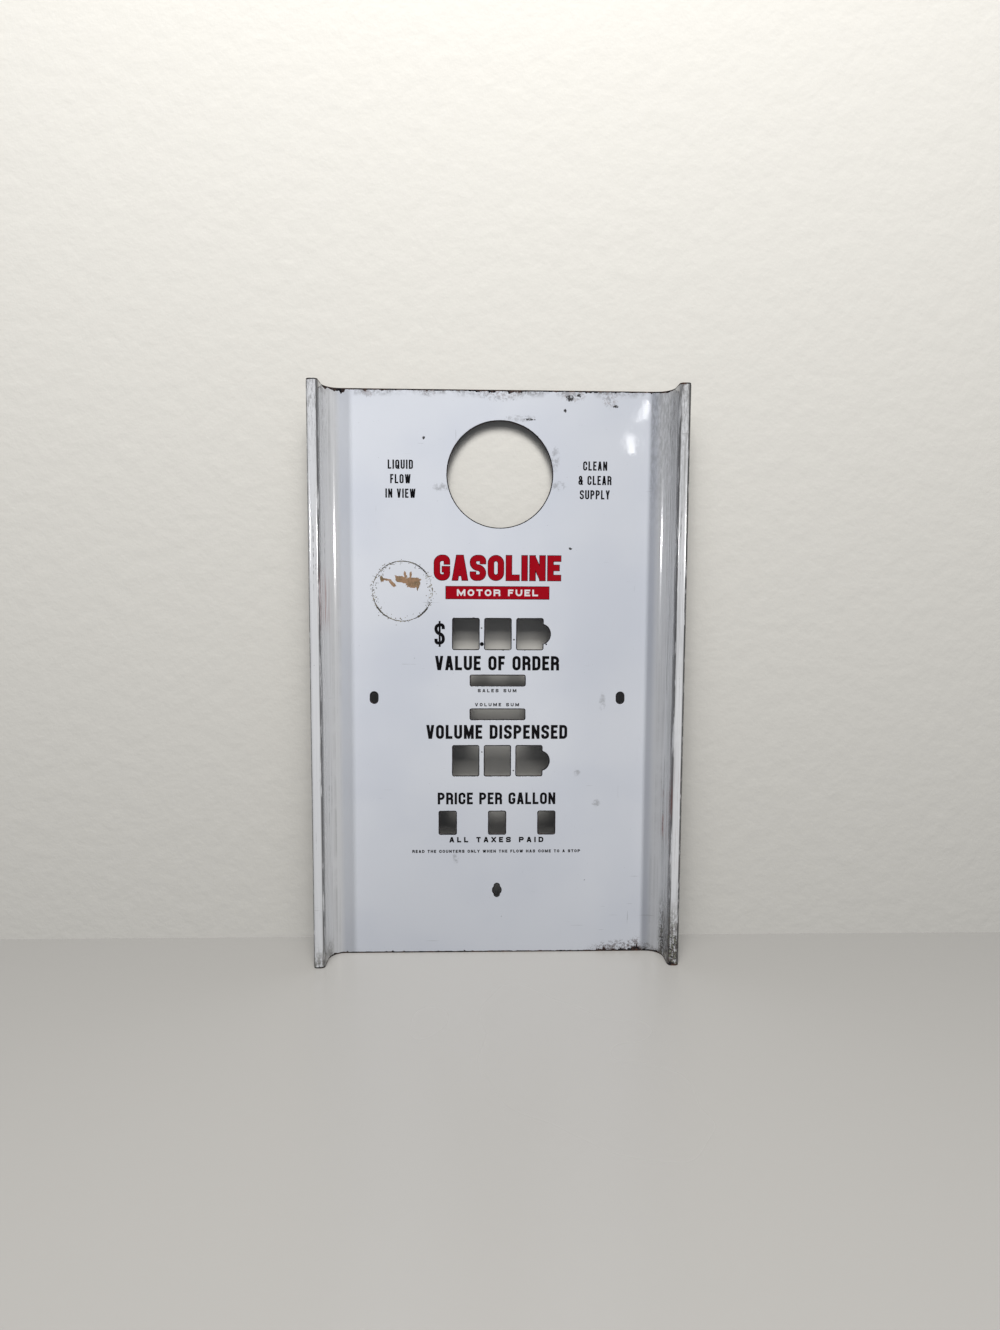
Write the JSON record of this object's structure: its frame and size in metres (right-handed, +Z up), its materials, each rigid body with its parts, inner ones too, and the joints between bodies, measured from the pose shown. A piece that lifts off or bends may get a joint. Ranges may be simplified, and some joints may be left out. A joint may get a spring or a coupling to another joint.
{
  "type": "fuel pump face plate",
  "caption": "Pressed steel face plate of a computing fuel pump, porcelain enamelled white, with forward side flanges, a sight glass hole and counter windows.",
  "frame": {"origin": "under the middle of the bounding box, level with the bottom edge", "axes": "+X to the viewer's right, -Y out of the face towards the viewer, +Z up the plate"},
  "size_m": [0.2858, 0.0282, 0.4477],
  "materials": {
    "white_enamel": "gloss vitreous enamel, bluish white, lightly worn",
    "ground_enamel": "gloss dark vitreous ground coat",
    "sheet_steel": "bare sheet steel at the cut edges, rusted",
    "black_enamel": "gloss fired black",
    "red_enamel": "gloss fired red",
    "white_print": "gloss fired white",
    "old_glue": "dried adhesive, yellowed",
    "old_paper": "matt, torn and browned"
  },
  "bodies": {
    "root": {"cover_coat_white": "white_enamel", "ground_coat_front": "ground_enamel", "steel_core": "sheet_steel", "ground_coat_back": "ground_enamel", "sight_legend_left": "black_enamel", "sight_legend_right": "black_enamel", "emblem_keyline": "black_enamel", "emblem_word": "red_enamel", "emblem_band": "red_enamel", "emblem_band_legend": "white_print", "sale_legend": "black_enamel", "sale_total_legend": "black_enamel", "volume_total_legend": "black_enamel", "volume_legend": "black_enamel", "unit_price_legend": "black_enamel", "tax_legend": "black_enamel", "footer_legend": "black_enamel", "currency_sign": "black_enamel", "decimal_points": "black_enamel", "seal_glue_ring": "old_glue", "seal_paper_scraps": "old_paper"}
  },
  "joints": []
}
